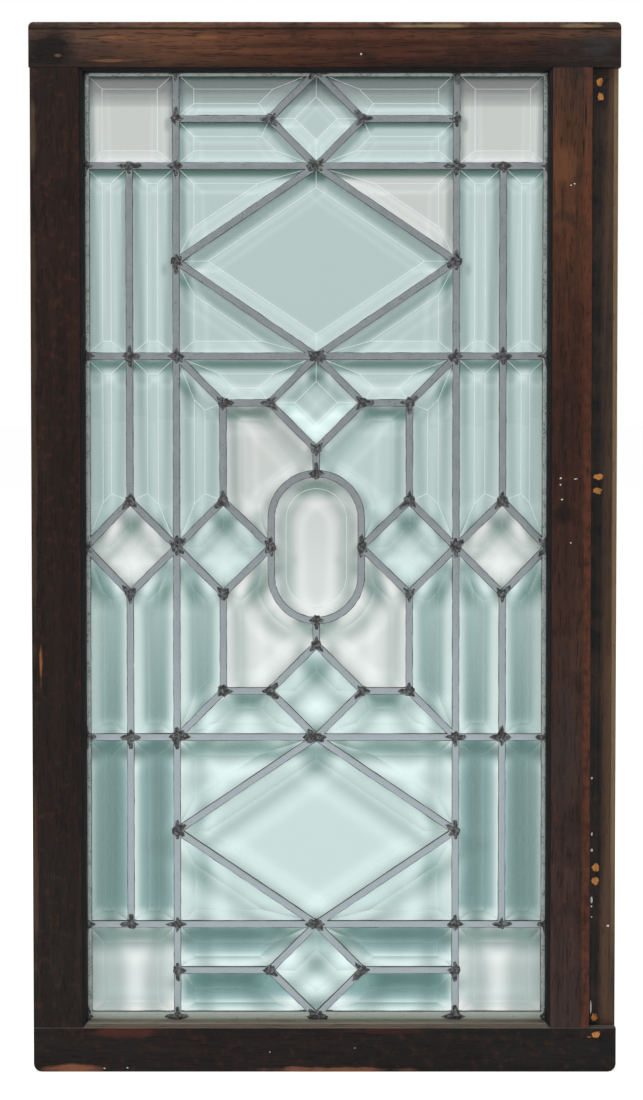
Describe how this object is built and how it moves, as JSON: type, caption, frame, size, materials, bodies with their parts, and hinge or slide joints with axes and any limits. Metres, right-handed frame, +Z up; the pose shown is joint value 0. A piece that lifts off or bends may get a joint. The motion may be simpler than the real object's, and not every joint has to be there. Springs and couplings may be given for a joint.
{
  "type": "leaded glass window",
  "caption": "Leaded window of clear bevelled glass, diamonds and strips set round a central oval, in a dark wooden sash with a moulded inner edge.",
  "frame": {"origin": "middle of the sash's underside, halfway through its thickness, where it stands on the sill", "axes": "+Z up the window, -Y out of the face with the moulding and the bevels, +X to the right seen from that face"},
  "size_m": [0.5864, 0.035, 1.048],
  "materials": {
    "mahogany": "worn dark varnish",
    "stop_wood": "worn varnish",
    "lead": "dull lead with dark soldered joints",
    "bevelled_glass": "clear polished plate"
  },
  "bodies": {
    "root": {"angled_strip_bottom_left": "bevelled_glass", "angled_strip_bottom_right": "bevelled_glass", "angled_strip_top_left": "bevelled_glass", "angled_strip_top_right": "bevelled_glass", "arched_pane_bottom_left": "bevelled_glass", "arched_pane_bottom_right": "bevelled_glass", "arched_pane_top_left": "bevelled_glass", "arched_pane_top_right": "bevelled_glass", "border_diamond_bottom": "bevelled_glass", "border_diamond_top": "bevelled_glass", "bottom_rail": "mahogany", "bottom_stop": "stop_wood", "corner_square_bottom_left": "bevelled_glass", "corner_square_bottom_right": "bevelled_glass", "corner_square_top_left": "bevelled_glass", "corner_square_top_right": "bevelled_glass", "cut_strip_pair_bottom_left": "bevelled_glass", "cut_strip_pair_bottom_right": "bevelled_glass", "cut_strip_pair_top_left": "bevelled_glass", "cut_strip_pair_top_right": "bevelled_glass", "high_triangle_bottom_left": "bevelled_glass", "high_triangle_bottom_right": "bevelled_glass", "high_triangle_top_left": "bevelled_glass", "high_triangle_top_right": "bevelled_glass", "inner_diamond_left": "bevelled_glass", "inner_diamond_right": "bevelled_glass", "inner_trapezoid_bottom_left": "bevelled_glass", "inner_trapezoid_bottom_right": "bevelled_glass", "inner_trapezoid_top_left": "bevelled_glass", "inner_trapezoid_top_right": "bevelled_glass", "large_diamond_bottom": "bevelled_glass", "large_diamond_top": "bevelled_glass", "lead_cames": "lead", "left_stile": "mahogany", "left_stop": "stop_wood", "low_triangle_bottom_left": "bevelled_glass", "low_triangle_bottom_right": "bevelled_glass", "low_triangle_top_left": "bevelled_glass", "low_triangle_top_right": "bevelled_glass", "middle_diamond_bottom": "bevelled_glass", "middle_diamond_top": "bevelled_glass", "outer_diamond_left": "bevelled_glass", "outer_diamond_right": "bevelled_glass", "outer_trapezoid_bottom_left": "bevelled_glass", "outer_trapezoid_bottom_right": "bevelled_glass", "outer_trapezoid_top_left": "bevelled_glass", "outer_trapezoid_top_right": "bevelled_glass", "oval_pane": "bevelled_glass", "right_stile": "mahogany", "right_stop": "stop_wood", "shelf_trapezoid_bottom_left": "bevelled_glass", "shelf_trapezoid_bottom_right": "bevelled_glass", "shelf_trapezoid_top_left": "bevelled_glass", "shelf_trapezoid_top_right": "bevelled_glass", "strip_pair_bottom_left": "bevelled_glass", "strip_pair_bottom_right": "bevelled_glass", "strip_pair_top_left": "bevelled_glass", "strip_pair_top_right": "bevelled_glass", "top_rail": "mahogany", "top_stop": "stop_wood"}
  },
  "joints": []
}
